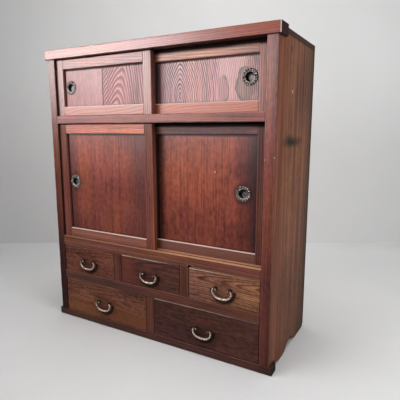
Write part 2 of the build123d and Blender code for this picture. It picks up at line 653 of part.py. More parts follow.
def drawer(name, x_mid, opening_width, z_low, z_high):
    half = opening_width / 2 - DRAWER_SIDE_GAP
    bottom = z_low + RUN_GAP
    top = z_high - DRAWER_TOP_GAP
    side_top = top - DRAWER_SIDE_DROP
    front_rear = drawer_face + DRAWER_FRONT_THICKNESS
    lap = front_rear - DRAWER_LAP
    floor_low = bottom + DRAWER_BOTTOM_LIFT
    floor_high = floor_low + DRAWER_BOTTOM_THICKNESS
    inner = half - DRAWER_WALL
    floor_half = inner + DRAWER_GROOVE
    pivot_y = drawer_face - BAIL_STANDOFF
    pivot_z = (z_low + z_high) / 2
    eyes = [x_mid - EYE_SPREAD / 2, x_mid + EYE_SPREAD / 2]

    with BuildPart() as face_board:
        block((x_mid - half, drawer_face, bottom), (x_mid + half, front_rear, top))
        chamfer(face_board.faces().sort_by(Axis.Y)[0].edges(), DRAWER_CHAMFER)
        for sign in (-1, 1):
            ends = sorted((x_mid + sign * inner, x_mid + sign * half))
            block((ends[0], lap, bottom), (ends[1], front_rear, side_top), Mode.SUBTRACT)
        block(
            (x_mid - floor_half, front_rear - DRAWER_GROOVE, floor_low),
            (x_mid + floor_half, front_rear, floor_high),
            Mode.SUBTRACT,
        )
        for x in eyes:
            block(
                (x - PIN_SIZE / 2, drawer_face, pivot_z - PIN_SIZE / 2),
                (x + PIN_SIZE / 2, front_rear, pivot_z + PIN_SIZE / 2),
                Mode.SUBTRACT,
            )
    export(face_board, f"{name}_front")

    walls = []
    for sign in (-1, 1):
        ends = sorted((x_mid + sign * inner, x_mid + sign * half))
        groove = sorted((x_mid + sign * inner, x_mid + sign * floor_half))
        with BuildPart() as wall:
            block((ends[0], lap, bottom), (ends[1], drawer_rear, side_top))
            block(
                (groove[0], front_rear - DRAWER_GROOVE, floor_low),
                (groove[1], drawer_rear, floor_high),
                Mode.SUBTRACT,
            )
            block(
                (groove[0], drawer_rear - DRAWER_WALL, floor_high),
                (groove[1], drawer_rear, side_top),
                Mode.SUBTRACT,
            )
        walls.append(wall)
    with BuildPart() as back_wall:
        block(
            (x_mid - floor_half, drawer_rear - DRAWER_WALL, floor_high),
            (x_mid + floor_half, drawer_rear, side_top),
        )
    with BuildPart() as floor_board:
        block(
            (x_mid - floor_half, front_rear - DRAWER_GROOVE, floor_low),
            (x_mid + floor_half, drawer_rear, floor_high),
        )
    export_group([*walls, back_wall, floor_board], f"{name}_box")

    pins = []
    for x in eyes:
        with BuildPart() as pin:
            with BuildSketch(Plane.YZ.offset(x - EYE_THICKNESS / 2)):
                with Locations((pivot_y, pivot_z)):
                    Circle(EYE_RADIUS)
            extrude(amount=EYE_THICKNESS)
            block(
                (x - PIN_SIZE / 2, pivot_y, pivot_z - PIN_SIZE / 2),
                (x + PIN_SIZE / 2, front_rear + PIN_CLINCH_THICKNESS, pivot_z + PIN_SIZE / 2),
            )
            block(
                (x - PIN_SIZE / 2, front_rear, pivot_z - PIN_CLINCH),
                (x + PIN_SIZE / 2, front_rear + PIN_CLINCH_THICKNESS, pivot_z + PIN_CLINCH),
            )
            with BuildSketch(Plane.YZ.offset(x - EYE_THICKNESS)):
                with Locations((pivot_y, pivot_z)):
                    Circle(BAIL_ROD / 2 + EYE_CLEARANCE)
            extrude(amount=2 * EYE_THICKNESS, mode=Mode.SUBTRACT)
        with BuildPart() as washer:
            with BuildSketch(Plane.XZ.offset(-drawer_face)):
                with Locations((x, pivot_z)):
                    Circle(WASHER_DIAMETER / 2)
                    Rectangle(PIN_SIZE, PIN_SIZE, mode=Mode.SUBTRACT)
            extrude(amount=WASHER_THICKNESS)
            chamfer(
                washer.faces().sort_by(Axis.Y)[0].edges().filter_by(GeomType.CIRCLE),
                WASHER_THICKNESS * 0.6,
            )
        pins.extend((pin, washer))
    export_group(pins, f"{name}_eye_pins")

    reach = (BAIL_WIDTH - BAIL_ROD) / 2
    low = BAIL_DROP - BAIL_ROD / 2
    hook = reach - EYE_SPREAD / 2 - EYE_THICKNESS / 2
    stub = EYE_SPREAD / 2 - EYE_THICKNESS
    with BuildPart() as bail:
        with BuildLine(Plane((x_mid, pivot_y, pivot_z), x_dir=(1, 0, 0), z_dir=(0, -1, 0))) as path:
            FilletPolyline(
                (-stub, 0),
                (-reach, 0),
                (-reach * 0.94, -low * 0.5),
                (-reach * 0.45, -low),
                (reach * 0.45, -low),
                (reach * 0.94, -low * 0.5),
                (reach, 0),
                (stub, 0),
                radius=[hook * 0.9, reach * 0.4, reach * 0.6, reach * 0.6, reach * 0.4, hook * 0.9],
            )
        with BuildSketch(Plane(path.line @ 0, z_dir=path.line % 0)):
            Circle(BAIL_ROD / 2)
        sweep()
    export(bail, f"{name}_bail")


for i in range(UPPER_DRAWER_COUNT):
    middle = -half_opening + (i + 0.5) * upper_drawer_width + i * MUNTIN_WIDTH
    drawer(f"drawer_{i + 1}", middle, upper_drawer_width, z_upper_drawers, z_sill)
for i in range(LOWER_DRAWER_COUNT):
    middle = -half_opening + (i + 0.5) * lower_drawer_width + i * MUNTIN_WIDTH
    number = UPPER_DRAWER_COUNT + i + 1
    drawer(f"drawer_{number}", middle, lower_drawer_width, BOTTOM_RAIL_HEIGHT, z_drawer_rail)
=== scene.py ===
import json
import math

import bmesh
import bpy
from mathutils import Matrix, Vector, noise


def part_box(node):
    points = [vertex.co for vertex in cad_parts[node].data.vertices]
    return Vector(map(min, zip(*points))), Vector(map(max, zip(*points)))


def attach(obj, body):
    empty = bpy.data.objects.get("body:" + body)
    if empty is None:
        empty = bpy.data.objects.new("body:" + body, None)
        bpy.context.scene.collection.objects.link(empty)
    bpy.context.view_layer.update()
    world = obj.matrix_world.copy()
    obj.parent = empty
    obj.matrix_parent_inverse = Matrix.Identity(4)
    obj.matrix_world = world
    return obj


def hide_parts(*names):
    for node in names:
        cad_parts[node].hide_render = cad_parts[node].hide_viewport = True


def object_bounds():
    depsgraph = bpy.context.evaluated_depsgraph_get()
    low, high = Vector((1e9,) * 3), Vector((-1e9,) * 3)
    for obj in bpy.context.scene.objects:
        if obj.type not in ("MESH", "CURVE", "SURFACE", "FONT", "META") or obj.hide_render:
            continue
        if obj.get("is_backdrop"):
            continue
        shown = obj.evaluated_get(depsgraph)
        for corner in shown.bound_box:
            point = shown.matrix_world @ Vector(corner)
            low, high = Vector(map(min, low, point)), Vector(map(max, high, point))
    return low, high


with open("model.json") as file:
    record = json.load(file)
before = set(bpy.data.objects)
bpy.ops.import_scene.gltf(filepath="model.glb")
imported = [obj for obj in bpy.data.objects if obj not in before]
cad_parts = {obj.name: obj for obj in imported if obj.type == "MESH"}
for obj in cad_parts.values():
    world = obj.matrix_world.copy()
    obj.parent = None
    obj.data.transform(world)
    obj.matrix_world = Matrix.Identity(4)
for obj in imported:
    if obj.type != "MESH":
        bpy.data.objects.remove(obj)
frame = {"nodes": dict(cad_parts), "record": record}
solid_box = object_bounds()

# Rails of the front frame
# Five bars of straight-grained softwood cross the whole front, tenoned into the posts, the top one
# and the bottom one lapped over them. They are stained red-brown, lacquered and rubbed at the arrises.
body_of = {node: body for body, nodes in frame["record"]["behaviour"]["bodies"].items() for node in nodes}


def shade(red, green, blue):
    """Turns a colour as a screen shows it, 0 to 255, into the linear one that a shader takes."""
    parts = [part / 255 for part in (red, green, blue)]
    return tuple(p / 12.92 if p <= 0.04045 else ((p + 0.055) / 1.055) ** 2.4 for p in parts) + (1.0,)


class Value:
    """A socket in a node tree, so that a pattern is written as plain sums."""

    def __init__(self, bench, socket):
        self.bench = bench
        self.socket = socket

    def sum(self, operation, first, second=0.0):
        return self.bench.add("ShaderNodeMath", {"operation": operation}, {0: first, 1: second})

    def __add__(self, other):
        return self.sum("ADD", self, other)

    __radd__ = __add__

    def __sub__(self, other):
        return self.sum("SUBTRACT", self, other)

    def __rsub__(self, other):
        return self.sum("SUBTRACT", other, self)

    def __mul__(self, other):
        return self.sum("MULTIPLY", self, other)

    __rmul__ = __mul__

    def __truediv__(self, other):
        return self.sum("DIVIDE", self, other)

    def __pow__(self, other):
        return self.sum("POWER", self, other)

    def __abs__(self):
        return self.sum("ABSOLUTE", self)

    def least(self, other):
        return self.sum("MINIMUM", self, other)

    def most(self, other):
        return self.sum("MAXIMUM", self, other)

    def span(self, other):
        """The slant length over two lengths at right angles."""
        return (self ** 2.0 + other ** 2.0) ** 0.5


class Bench:
    """A node tree being built: add() makes any node and hands back one of its outputs."""

    def __init__(self, tree):
        self.tree = tree

    def add(self, kind, settings=None, sockets=None, output=0):
        node = self.tree.nodes.new(kind)
        for key, value in (settings or {}).items():
            if key == "curve":
                points = node.mapping.curves[0].points
                for _ in value[2:]:
                    points.new(0.5, 0.5)
                for point, place in zip(points, value):
                    point.location = place
                node.mapping.update()
            else:
                setattr(node, key, value)
        for key, value in (sockets or {}).items():
            if isinstance(value, Value):
                self.tree.links.new(value.socket, node.inputs[key])
            else:
                node.inputs[key].default_value = value
        return Value(self, node.outputs[output]) if node.outputs else None

    def rise(self, value, start, end):
        """0 below start, 1 above end, smooth between."""
        ends = {"Value": value, "From Min": start, "From Max": end}
        return self.add("ShaderNodeMapRange", {"interpolation_type": "SMOOTHSTEP"}, ends)


class Finish(Bench):
    """A finish being mixed: its colour, roughness and relief gather here until it is closed."""

    def __init__(self, name):
        self.material = bpy.data.materials.new(name)
        self.material.use_nodes = True
        Bench.__init__(self, self.material.node_tree)
        self.tree.nodes.clear()
        self.place = self.add("ShaderNodeTexCoord", {}, {}, "Object")
        split = self.add("ShaderNodeSeparateXYZ", {}, {0: self.place}).socket.node
        self.axes = [Value(self, socket) for socket in split.outputs]

    def noise(self, stretch, detail=2.0, seed=0.0):
        spot = {0: self.place, 1: stretch, 2: (seed, seed * 1.7, seed * 0.6)}
        spread = self.add("ShaderNodeVectorMath", {"operation": "MULTIPLY_ADD"}, spot)
        return self.add("ShaderNodeTexNoise", {}, {"Vector": spread, "Scale": 1.0, "Detail": detail})

    def away(self, place):
        """Distance from a place."""
        return self.add("ShaderNodeVectorMath", {"operation": "DISTANCE"}, {0: self.place, 1: place}, 1)

    def blend(self, share, below, above):
        return self.add("ShaderNodeMix", {"data_type": "RGBA"}, {0: share, 6: below, 7: above}, 2)

    def dim(self, amount):
        """Scales the colour so far by a value."""
        self.colour = self.add(
            "ShaderNodeVectorMath", {"operation": "SCALE"}, {0: self.colour, "Scale": amount}
        )

    def tint(self, share, colour):
        """Lays a colour over what is there."""
        self.colour = self.blend(share, self.colour, colour)

    def arris(self, low, high, fold=None):
        """Distance to the nearest arris of a box; fold, an axis and a middle, lets a pair share one box."""
        axes = list(self.axes)
        if fold:
            axes[fold[0]] = abs(axes[fold[0]] - fold[1]) + fold[1]
        near = [(axis - a).least(b - axis) for axis, a, b in zip(axes, low, high)]
        return near[0].least(near[1]).most(near[0].most(near[1]).least(near[2]))

    def close(self, relief, coat=0.0, metallic=0.0, specular=0.12, clear=None):
        """Makes the surface of what has gathered; clear is the share of it that is seen through."""
        bump = self.add("ShaderNodeBump", {}, {"Strength": 1.0, "Distance": relief, "Height": self.height})
        surface = {"Base Color": self.colour, "Roughness": self.rough, "Metallic": metallic}
        surface.update({"Coat Weight": coat, "Coat Roughness": 0.38, "Coat IOR": 1.7})
        surface.update({"Specular IOR Level": specular, "Normal": bump})
        shader = self.add("ShaderNodeBsdfPrincipled", {}, surface)
        if clear:
            nothing = self.add("ShaderNodeBsdfTransparent")
            shader = self.add("ShaderNodeMixShader", {}, {0: clear, 1: shader, 2: nothing})
        self.add("ShaderNodeOutputMaterial", {}, {"Surface": shader})
        return self.material


def wood(name, grain, face, pith, spacing, early, late, taper=0.0, lean=0.0, skew=0.0, centre=0.0,
         point=2.0, wave=0.004, ripple=0.002, line=1.4, streak=1.3, cloud=0.9, mottle=0.5, fleck=0.3,
         hue=1.0, rough=0.45, seed=0.0):
    """Sawn softwood: rings about a pith line along the grain axis, seen on the face across it.

    pith is the place of the pith across the face and in depth. The taper of the rings along the
    grain, or the lean of the pith against the face about centre, draws the arches of a flat-sawn
    board, rounder or more pointed as point is above or below 2, and skew tilts them in the face.
    wave bends them all and ripple makes them shaky.
    line, streak, cloud and mottle say how unevenly the stain took, from thin lines along the grain
    to broad clouds and small blots, fleck how dark the short pores are, and hue how far the colour
    drifts between cooler and warmer.
    """
    finish = Finish(name)

    def stretched(fine, long):
        return tuple(long if axis == grain else fine for axis in range(3))

    along = finish.axes[grain]
    drift = finish.noise(stretched(8.0, 2.0), 2.0, seed) - 0.5
    wiggle = finish.noise(stretched(45.0, 9.0), 1.0, seed + 3.0) - 0.5
    across = finish.axes[3 - grain - face] - pith[0] - (along - centre) * skew + drift * (wave * 2)
    depth = finish.axes[face] - pith[1] + (along - centre) * lean + drift * wave
    radius = (abs(across) ** point + abs(depth) ** point) ** (1 / point)
    rings = (radius + along * taper + wiggle * ripple) / spacing
    season = rings.sum("FRACT", rings)
    year = finish.add(
        "ShaderNodeTexWhiteNoise", {"noise_dimensions": "1D"}, {"W": rings.sum("FLOOR", rings)}
    )
    finish.latewood = finish.rise(season, 0.3, 0.85) * (1 - finish.rise(season, 0.9, 1.0))
    fibre = finish.noise(stretched(900.0, 14.0), 1.0, seed + 5.0)
    finish.streaks = finish.noise(stretched(75.0, 1.4), 3.0, seed + 7.0)
    finish.clouds = finish.noise((6.0, 6.0, 6.0), 2.0, seed + 9.0)
    lines = finish.noise(stretched(210.0, 3.0), 3.0, seed + 11.0)
    blots = finish.noise(stretched(95.0, 60.0), 3.0, seed + 13.0)
    patches = finish.noise(stretched(11.0, 4.0), 2.0, seed + 15.0)
    cool = [channel * (1 + hue * gain) for channel, gain in zip(early, (-0.05, -0.06, 0.10, 0.0))]
    warm = [channel * (1 + hue * gain) for channel, gain in zip(early, (0.05, 0.07, -0.10, 0.0))]
    ground = finish.blend(finish.rise(patches, 0.38, 0.62), cool, warm)
    finish.colour = finish.blend(finish.latewood * (0.3 + 0.7 * year), ground, late)
    tone = 1 + (fibre - 0.5) * 0.9 + (lines - 0.5) * line + (blots - 0.5) * mottle
    tone = tone + (finish.streaks - 0.5) * streak + (finish.clouds - 0.5) * cloud
    pores = finish.rise(finish.noise(stretched(260.0, 10.0), 2.0, seed + 17.0), 0.60, 0.72)
    finish.dim(tone.most(0.2) * (1 - pores * fleck))
    finish.rough = rough + (finish.clouds - 0.5) * 0.25 + (fibre - 0.5) * 0.2
    finish.height = finish.latewood * 0.7 + fibre * 0.3
    return finish


def rubbed(finish, node, pale, width=0.003, share=0.8, fold=None):
    """Lets the bare wood show along the arrises of a piece, in broken lines.

    fold gives the axis, the middle and the width of a pair of bars that are one piece.
    """
    low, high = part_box(node)
    low = list(low)
    if fold:
        low[fold[0]] = high[fold[0]] - fold[2]
    edge = finish.arris(low, high, fold) + (finish.noise((60.0, 60.0, 60.0), 2.0, 4.0) - 0.5) * width
    finish.tint((1 - finish.rise(edge, width * 0.2, width)) * share, pale)


def solids_of(shape):
    """Yields the points of each separate solid in a mesh."""
    left = set(shape.verts)
    while left:
        group = {left.pop()}
        front = list(group)
        while front:
            vert = front.pop()
            for edge in vert.link_edges:
                other = edge.other_vert(vert)
                if other in left:
                    left.discard(other)
                    group.add(other)
                    front.append(other)
        yield group


def corners(group):
    low = [min(vert.co[axis] for vert in group) for axis in range(3)]
    high = [max(vert.co[axis] for vert in group) for axis in range(3)]
    return low, high


def worn_copy(node, along, step, nibble, dents=()):
    """Copies a solid and wears its arrises back unevenly.

    It is cut every step along its length, and each dent is a place, a size and a push.
    """
    border = 0.004
    arris = 0.0026
    shape = bmesh.new()
    shape.from_mesh(frame["nodes"][node].data)
    bmesh.ops.remove_doubles(shape, verts=shape.verts, dist=1e-6)
    cuts = set()
    for group in solids_of(shape):
        low, high = corners(group)
        for axis in range(3):
            cuts.update(((axis, low[axis] + border), (axis, high[axis] - border)))
        count = max(2, round((high[along] - low[along]) / step))
        cuts.update((along, low[along] + (high[along] - low[along]) * i / count) for i in range(1, count))
    for place, size, _ in dents:
        cuts.update((axis, place[axis] + size * k / 4) for axis in range(3) for k in range(-4, 5))
    for axis, level in sorted(cuts):
        point = Vector([level if a == axis else 0.0 for a in range(3)])
        normal = Vector([1.0 if a == axis else 0.0 for a in range(3)])
        everything = shape.verts[:] + shape.edges[:] + shape.faces[:]
        bmesh.ops.bisect_plane(shape, geom=everything, dist=1e-7, plane_co=point, plane_no=normal)
    for group in solids_of(shape):
        low, high = corners(group)
        for vert in group:
            start = vert.co.copy()
            gaps = [min(start[axis] - low[axis], high[axis] - start[axis]) for axis in range(3)]
            if sorted(gaps)[1] < arris:
                rub = nibble * max(0.1, 0.6 + noise.noise(start * 30.0))
                rub += nibble * 5.0 * max(0.0, noise.noise(start * 80.0 + Vector((7.0, 3.0, 1.0))) - 0.35)
                for axis in range(3):
                    if gaps[axis] < arris:
                        vert.co[axis] += rub if start[axis] - low[axis] < high[axis] - start[axis] else -rub
            for place, size, push in dents:
                reach = (start - Vector(place)).length / size
                if reach < 1.0:
                    vert.co += Vector(push) * (1 - reach * reach) ** 0.5
    for face in shape.faces:
        face.smooth = False
    mesh = bpy.data.meshes.new(node + "_worn")
    shape.to_mesh(mesh)
    shape.free()
    return mesh


def fit(name, mesh, node, finish):
    """Sets a finished mesh in the place of a solid, on the same body."""
    piece = bpy.data.objects.new(name, mesh)
    bpy.context.collection.objects.link(piece)
    mesh.materials.clear()
    mesh.materials.append(finish)
    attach(piece, body_of[node])
    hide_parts(node)
    return piece


# For each rail: early and late wood, height and depth of the pith, width of a ring, how far the
# arrises are rubbed, and the lacquer left at its left and its right end.
rail_looks = {
    "top_rail": (shade(160, 90, 82), shade(110, 54, 47), (1.10, -0.14), 0.0042, 0.6, (1.0, 0.1)),
    "mid_rail": (shade(152, 86, 76), shade(104, 54, 47), (0.72, -0.15), 0.0036, 0.5, (0.45, 0.3)),
    "sill_rail": (shade(114, 65, 51), shade(76, 39, 30), (0.26, -0.12), 0.0040, 0.4, (0.1, 0.1)),
    "drawer_rail": (shade(94, 53, 43), shade(60, 31, 25), (0.12, -0.14), 0.0038, 0.2, (0.05, 0.05)),
    "bottom_rail": (shade(80, 48, 40), shade(48, 27, 23), (-0.05, -0.13), 0.0040, 0.2, (0.0, 0.0)),
}
sill_chip = ((0.1655, -0.1832, 0.3005), 0.008, (0.0, 0.006, 0.006))
for seed, (rail, (early, late, pith, spacing, rub, lacquer)) in enumerate(rail_looks.items()):
    finish = wood(rail + "_stain", 0, 1, pith, spacing, early, late, rough=0.44, seed=seed * 2.3)
    rubbed(finish, rail, shade(172, 118, 96), share=rub)
    low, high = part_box(rail)
    # Painted shade: the underside of the top and the mid rail, and the lowest millimetre of their front,
    # painted near black.
    if rail in ("top_rail", "mid_rail"):
        under = 1 - finish.rise(finish.axes[2], low[2] + 0.0008, low[2] + 0.0016)
        finish.tint(under * 0.92, shade(20, 12, 11))
    if rail == "bottom_rail":
        finish.dim(1 - 0.4 * finish.rise(abs(finish.axes[0]), 0.38, 0.45))
    ends = finish.rise(abs(finish.axes[0]), high[0] - 0.0012, high[0] - 0.0008)
    finish.tint(ends * 0.9, shade(34, 25, 24))
    if rail == "top_rail":
        finish.dim(1 - 0.22 * finish.rise(finish.axes[0], 0.1, 0.4))
        # Painted highlight: the right front arris of the top rail, painted near white.
        corner = (finish.axes[0] - high[0]).span(finish.axes[1] - low[1])
        finish.tint((1 - finish.rise(corner, 0.0018, 0.003)) * 0.95, shade(226, 214, 204))
    if rail == "sill_rail":
        # The top face of the sill, painted pale orange: worn bare, and a painted highlight of the light
        # from above, strongest to the right.
        worn = finish.rise(finish.axes[2], high[2] - 0.0012, high[2] - 0.0004)
        worn = worn * (0.25 + 0.4 * finish.rise(finish.axes[0], -0.05, 0.12))
        finish.tint(worn, shade(228, 172, 132))
        chip, size, _ = sill_chip
        away = ((finish.axes[0] - chip[0]) / 1.6).span(finish.axes[2] - chip[2])
        away = away + (finish.noise((120.0, 120.0, 120.0), 2.0, 4.0) - 0.5) * size
        # A chip in the sill's front arris: pale broken wood round it, and its hollow painted near black as
        # shade.
        finish.tint((1 - finish.rise(away, size * 1.0, size * 1.5)) * 0.3, shade(170, 128, 110))
        finish.tint((1 - finish.rise(away, size * 0.6, size * 1.0)) * 0.95, shade(20, 12, 12))
    sheen = lacquer[0] + finish.rise(finish.axes[0], -0.05, 0.45) * (lacquer[1] - lacquer[0])
    sheen = sheen * (1 - ends)
    finish.rough = finish.rough + ends * 0.35
    dents = (sill_chip,) if rail == "sill_rail" else ()
    mesh = worn_copy(rail, 0, 0.011, 0.00035, dents)
    fit(rail + "_worn", mesh, rail, finish.close(0.0008, coat=sheen))

# Front posts
# Two square posts stand between the top and bottom rails at the corners, quarter-sawn, with the same
# stain as the rails but redder; hands and doors have knocked small pale nicks out of their arrises.
right_nicks = (
    ((0.4125, -0.1832, 0.6608), 0.0035, (0.0012, 0.0010, 0.0)),
    ((0.4448, -0.1832, 0.6673), 0.0035, (-0.0012, 0.0010, 0.0)),
)
# For each post: how much darker it is at its foot, the heights where that is strongest and where it ends,
# and its nicks.
post_looks = {"left_post": (0.86, 0.08, 1.0, ()), "right_post": (0.62, -0.1, 0.9, right_nicks)}
for seed, (post, (foot_darkening, darkest_level, even_level, nicks)) in enumerate(post_looks.items()):
    finish = wood(
        post + "_stain", 2, 1, (0.75 - seed * 1.5, -0.10), 0.0038, shade(136, 74, 62), shade(94, 46, 37),
        mottle=1.0, rough=0.46, seed=20.0 + seed * 3.1,
    )
    low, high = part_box(post)
    flank = finish.rise(finish.axes[1], low[1] + 0.002, low[1] + 0.006)
    rubbed(finish, post, shade(176, 116, 92), share=0.5)
    for place, size, _ in nicks:
        finish.tint(1 - finish.rise(finish.away(place), size * 0.6, size * 1.2), shade(230, 208, 192))
    finish.dim(1 - foot_darkening * (1 - finish.rise(finish.axes[2], darkest_level, even_level)))
    brown = finish.blend(finish.rise(finish.streaks, 0.35, 0.65), shade(112, 68, 50), shade(158, 102, 76))
    finish.tint(flank * (0.85 - finish.latewood * 0.25), brown)
    finish.rough = finish.rough + flank * 0.2
    # Painted shade: the inner side face of each post, in the narrow gap beside the doors, painted near
    # black.
    inner_face = min(abs(low[0]), abs(high[0]))
    inner = 1 - finish.rise(abs(finish.axes[0]), inner_face + 0.0002, inner_face + 0.0012)
    finish.tint(inner * 0.88, shade(24, 14, 13))
    mesh = worn_copy(post, 2, 0.011, 0.0004, nicks)
    lacquer = (1 - flank) * finish.rise(finish.axes[2], 0.55, 1.0) * 0.75
    fit(post + "_worn", mesh, post, finish.close(0.0008, coat=lacquer))

# Muntins between the drawers
# Three short uprights part the drawers, tenoned into the rails above and below them. They are of the
# rails' wood and stain, and the drawers beside them have kept them from wear.
for seed, muntin in enumerate(("left_muntin", "right_muntin", "lower_muntin")):
    finish = wood(
        muntin + "_stain", 2, 1, (0.4 - seed * 0.3, -0.11), 0.0034, shade(90, 51, 42), shade(60, 32, 26),
        rough=0.5, seed=30.0 + seed * 1.7,
    )
    rubbed(finish, muntin, shade(128, 76, 60), share=0.2)
    fit(muntin + "_worn", worn_copy(muntin, 2, 0.011, 0.0003), muntin, finish.close(0.0006))


# Side panels
# One wide plank closes each side, grain upright, nailed behind the post and scalloped at the foot.
# It was stained more thinly than the front, is dull and brown, and is darkest along its rear edge.
def dress(node, material):
    """Gives a solid that is shown as it is its finish."""
    for slot in frame["nodes"][node].material_slots:
        slot.material = material


smear_place, smear_reach = (-0.032, 0.708), (0.12, 0.020)
plug_place = (0.445, -0.042, 0.858)
knot_place = (-0.063, 0.977)
for seed, side in enumerate(("left_side_panel", "right_side_panel")):
    low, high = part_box(side)
    finish = wood(
        side + "_stain", 2, 0, (-0.30, 0.445 if seed else -0.445), 0.0062, shade(142, 96, 76),
        shade(98, 62, 48), taper=0.02, wave=0.012, line=1.5, mottle=0.6, hue=0.6, rough=0.7,
        seed=40.0 + seed * 5.0,
    )
    bands = finish.noise((1.0, 22.0, 0.8), 3.0, 43.0 + seed)
    finish.tint(finish.rise(bands, 0.5, 0.65) * 0.4, shade(92, 66, 54))
    finish.tint((1 - finish.rise(finish.axes[1], -0.14, -0.06)) * 0.5, shade(150, 88, 62))
    finish.tint(finish.rise(finish.axes[1] + (bands - 0.5) * 0.1, 0.05, 0.19) * 0.6, shade(84, 68, 58))
    rear = finish.rise(finish.axes[1], high[1] - 0.014, high[1] - 0.004)
    crown = finish.rise(finish.axes[2], high[2] - 0.010, high[2] - 0.001)
    finish.tint(rear.most(crown) * 0.85, shade(36, 31, 28))
    finish.dim(0.66 + 0.34 * finish.rise(finish.axes[2] + (finish.streaks - 0.5) * 0.3, 0.05, 0.55))
    if seed:
        smear = (finish.axes[1] - smear_place[0]) / smear_reach[0]
        smear = smear.span((finish.axes[2] - smear_place[1]) / smear_reach[1])
        smear = smear + (finish.noise((14.0, 14.0, 30.0), 3.0, 2.0) - 0.5) * 0.9
        finish.tint((1 - finish.rise(smear, 0.2, 1.2)) * 0.9, shade(40, 45, 38))
        finish.tint(1 - finish.rise(finish.away(plug_place), 0.0036, 0.0068), shade(206, 176, 138))
        knot = (finish.axes[1] - knot_place[0]).span((finish.axes[2] - knot_place[1]) * 0.45)
        finish.tint((1 - finish.rise(knot, 0.002, 0.007)) * 0.7, shade(62, 44, 36))
    dress(side, finish.close(0.0006, specular=0.1))

# Top board
# A thin board is let in between the top rail and the back and nailed down from above. It was never
# polished: the stain is thin, and dust has greyed it.
finish = wood(
    "top_board_stain", 0, 2, (0.10, 0.90), 0.005, shade(140, 92, 76), shade(102, 62, 50),
    wave=0.012, streak=1.2, cloud=1.0, rough=0.62, seed=51.0,
)
finish.tint(finish.rise(finish.clouds, 0.45, 0.7) * 0.4, shade(150, 128, 114))
low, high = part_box("top_board")
finish.tint(finish.rise(abs(finish.axes[0]), high[0] - 0.006, high[0] - 0.001) * 0.8, shade(46, 34, 31))
dress("top_board", finish.close(0.0005, specular=0.1))


# Boards inside
# Shelves, drawer floors and runners were planed and left bare. The wood has browned with age, with
# grey dust where goods were slid in and out.
def bare_wood(name, grain, face, pith, seed):
    """Planed wood with no stain, browned and dusty."""
    finish = wood(
        name, grain, face, pith, 0.0042, shade(174, 131, 95), shade(138, 96, 64),
        wave=0.008, streak=0.7, cloud=0.7, hue=0.3, rough=0.7, seed=seed,
    )
    finish.tint(finish.rise(finish.noise((9.0, 9.0, 9.0), 3.0, seed), 0.5, 0.72) * 0.4, shade(120, 96, 76))
    return finish.close(0.0004)


for seed, board in enumerate(("mid_shelf", "cupboard_floor", "drawer_shelf", "bottom_board")):
    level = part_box(board)[1][2]
    dress(board, bare_wood(board + "_bare", 0, 2, (0.05, level - 0.06), 60.0 + seed * 2.0))
dress("rear_bottom_rail", bare_wood("rear_bottom_rail_bare", 0, 1, (0.08, 0.1), 68.0))
dress("drawer_guides", bare_wood("drawer_guides_bare", 1, 2, (0.3, 0.0), 70.0))

# Back boards
# Five thin upright boards close the back, butted side by side and nailed to the frame. They are
# rough-planed cedar, unstained and greyed.
low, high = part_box("back_boards")
board_width = (high[0] - low[0]) / 5
finish = wood(
    "back_cedar", 2, 1, (0.0, 0.12), 0.0045, shade(160, 123, 95), shade(124, 88, 64),
    taper=0.04, wave=0.02, streak=1.2, cloud=0.8, hue=0.3, rough=0.75, seed=80.0,
)
turn = (finish.axes[0] - low[0]) / board_width
plank = finish.add(
    "ShaderNodeTexWhiteNoise", {"noise_dimensions": "1D"}, {"W": turn.sum("FLOOR", turn) + 0.5}
)
finish.dim(0.82 + 0.36 * plank)
finish.tint(finish.rise(finish.streaks, 0.5, 0.75) * 0.35, shade(126, 112, 100))
joint = (0.5 - abs(turn.sum("FRACT", turn) - 0.5)) * board_width
finish.tint((1 - finish.rise(joint, 0.0006, 0.002)) * 0.8, shade(48, 36, 28))
dress("back_boards", finish.close(0.0006))


# Nails
# Cut iron nails hold the back boards to the frame and the top board to what is under it. They were
# driven flush, and their flat heads have rusted brown.
def iron(name, dark, pale, rust, share, rough, seed):
    """Hammered iron with scale in the hollows, rubbed bright places and some rust."""
    finish = Finish(name)
    coarse = finish.noise((260.0, 260.0, 260.0), 2.0, seed)
    fine = finish.noise((900.0, 900.0, 900.0), 2.0, seed + 2.0)
    spots = finish.noise((120.0, 120.0, 120.0), 3.0, seed + 4.0)
    finish.colour = finish.blend(finish.rise(coarse, 0.35, 0.65), dark, pale)
    finish.tint(finish.rise(spots, 0.52, 0.66) * share, rust)
    finish.rough = rough + (fine - 0.5) * 0.3 + finish.rise(spots, 0.52, 0.66) * share * 0.3
    finish.height = coarse * 0.7 + fine * 0.3
    return finish


nail_finish = iron("nail_iron", shade(58, 46, 40), shade(92, 74, 62), shade(104, 58, 36), 0.8, 0.6, 5.0)
nail_iron = nail_finish.close(0.0002, metallic=0.6)
dress("back_nails", nail_iron)
dress("top_nails", nail_iron)

# Door stiles
# Each door's two stiles run its full height with a tongue at both ends that slides in the tracks.
# They are mortised for the door rails and stained like the posts.
doors = ("upper_left_door", "upper_right_door", "lower_left_door", "lower_right_door")
stile_width = 0.033


def under_rail(finish, door):
    """Paints the shadow of the rail above on the head of a door, deepest on the doors that run behind."""
    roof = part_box("top_rail" if "upper" in door else "mid_rail")[0][2]
    deep = 0.020 if "right" in door else 0.004
    painted_shadow = finish.rise(finish.axes[2] + (finish.clouds - 0.5) * 0.006, roof - deep, roof - deep * 0.45)
    finish.tint(painted_shadow * 0.98, shade(10, 6, 6))
    finish.rough = finish.rough + painted_shadow * 0.4
    return painted_shadow


